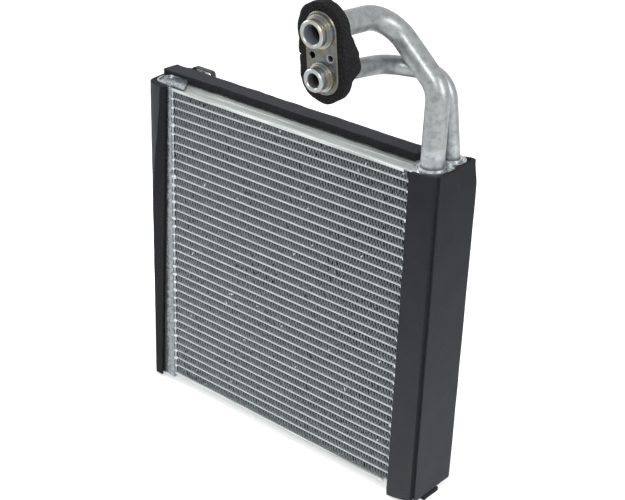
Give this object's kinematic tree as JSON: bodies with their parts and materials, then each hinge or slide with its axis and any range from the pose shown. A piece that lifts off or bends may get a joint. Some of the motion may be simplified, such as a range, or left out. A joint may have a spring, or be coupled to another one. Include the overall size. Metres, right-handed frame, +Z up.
{
  "type": "evaporator core",
  "caption": "Flat-tube and fin heat exchanger core with round-backed header tanks, bent pipes to a ported flange, and black foam sealing strips.",
  "frame": {"origin": "middle of the underside of the lower foam strip, below the middle of the finned core, where the housing carries the core", "axes": "+Z up along the header tanks, +X along the flat tubes towards the end with the pipes, +Y from the side that the flange's stubs point to towards the back"},
  "size_m": [0.272, 0.1111, 0.3725],
  "materials": {
    "tube_metal": "satin, brazed",
    "fin_metal": "satin, brazed",
    "tank_metal": "satin, brazed",
    "cap_metal": "satin, brazed",
    "plate_metal": "satin, brazed",
    "pipe_metal": "drawn, satin",
    "machined_metal": "machined",
    "foam": "closed-cell foam, matte",
    "clip_plastic": "matte"
  },
  "bodies": {
    "root": {"front_flat_tubes": "tube_metal", "rear_flat_tubes": "tube_metal", "fin_strips": "fin_metal", "left_header_plate": "tank_metal", "right_header_plate": "tank_metal", "left_tank": "tank_metal", "right_tank": "tank_metal", "left_front_top_cap": "cap_metal", "left_rear_top_cap": "cap_metal", "bottom_caps": "cap_metal", "suction_port_cap": "cap_metal", "liquid_port_cap": "cap_metal", "tank_baffles": "tank_metal", "top_side_plate": "plate_metal", "bottom_side_plate": "plate_metal", "suction_pipe": "pipe_metal", "liquid_pipe": "pipe_metal", "port_flange": "machined_metal", "left_end_foam": "foam", "right_end_foam": "foam", "top_foam_strip": "foam", "bottom_foam_strip": "foam", "flange_foam_seal": "foam", "strap_clip": "clip_plastic"}
  },
  "joints": []
}
